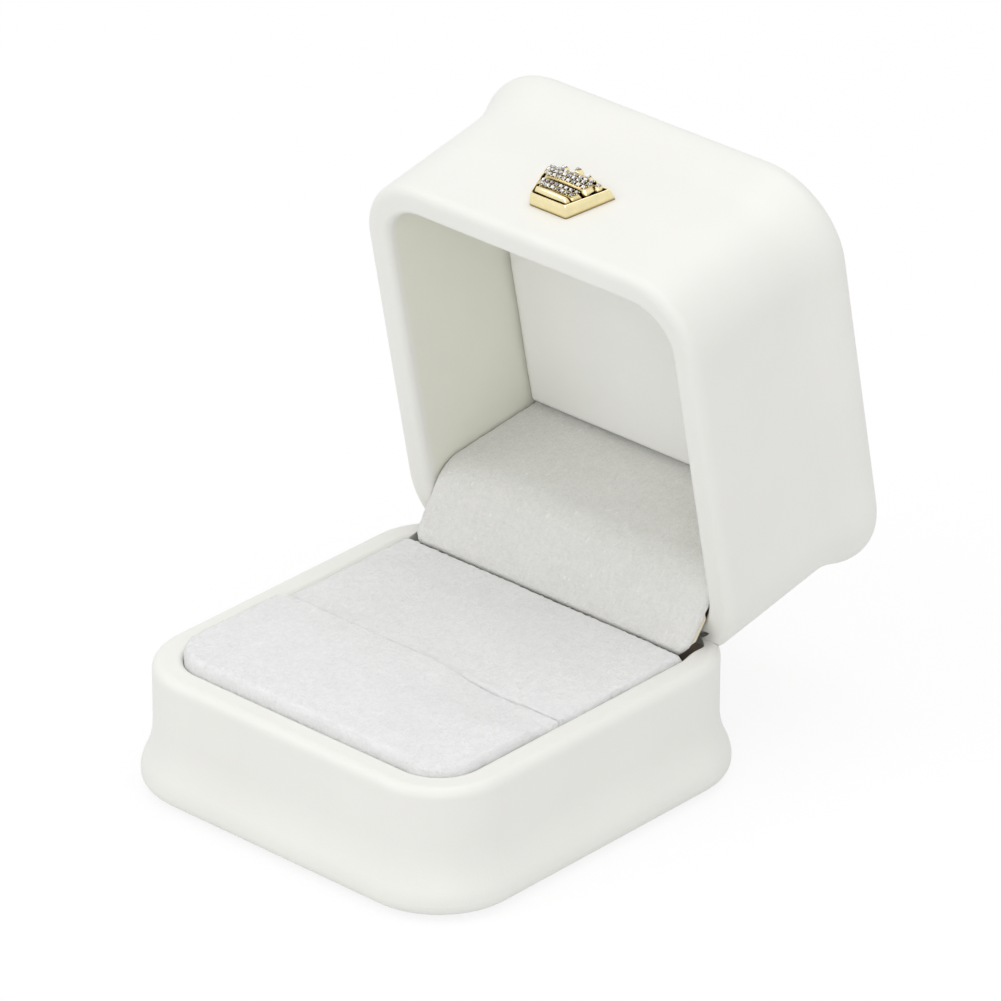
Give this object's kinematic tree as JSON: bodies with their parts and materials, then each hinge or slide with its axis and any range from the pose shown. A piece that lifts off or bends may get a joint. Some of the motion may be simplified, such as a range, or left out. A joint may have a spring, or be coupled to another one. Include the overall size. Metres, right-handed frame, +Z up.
{
  "type": "hinged ring box",
  "caption": "Cream leatherette ring box with flared foot, standing open on its rear hinge, velvet ring cushions with a slot and a crown ornament on the lid.",
  "frame": {"origin": "centre of the felt's underside, on the surface that the box stands on", "axes": "+Z up, -Y out of the front, X along the lid's hinge"},
  "size_m": [0.0636, 0.0906, 0.0837],
  "materials": {
    "core": "moulded, matt",
    "leatherette": "fine grain, matt satin",
    "felt": "pressed felt",
    "card": "plain card",
    "foam": "open foam",
    "velvet": "short nap velvet",
    "satin": "smooth satin cloth",
    "lining": "smooth lining cloth",
    "hinge_steel": "plated sheet",
    "gold": "polished pale gold plate",
    "washer_steel": "plain",
    "crystal": "clear, faceted"
  },
  "bodies": {
    "base": {"base_core": "core", "base_cover": "leatherette", "underside_felt": "felt", "cushion_board": "card", "front_cushion_foam": "foam", "front_cushion_velvet": "velvet", "rear_cushion_foam": "foam", "rear_cushion_velvet": "velvet", "base_hinge_leaf": "hinge_steel", "base_hinge_rivets": "hinge_steel", "hinge_pin": "hinge_steel", "detent_spring": "hinge_steel"},
    "lid": {"lid_core": "core", "lid_cover": "leatherette", "lid_pad_board": "card", "flap_board": "card", "lid_pad_foam": "foam", "flap_velvet": "velvet", "lid_pad_satin": "satin", "lid_lining": "lining", "lid_hinge_leaf": "hinge_steel", "lid_hinge_rivets": "hinge_steel", "crown_body": "gold", "crown_washers": "washer_steel", "crown_stones_lower": "crystal", "crown_stones_upper": "crystal", "crown_stones_points": "crystal"}
  },
  "joints": [
    {"name": "lid_hinge", "type": "hinge", "parent": "base", "child": "lid", "pos_m": [0, 0.0272, 0.01935], "axis": [1, 0, 0], "range_deg": [0, 78.6]}
  ]
}
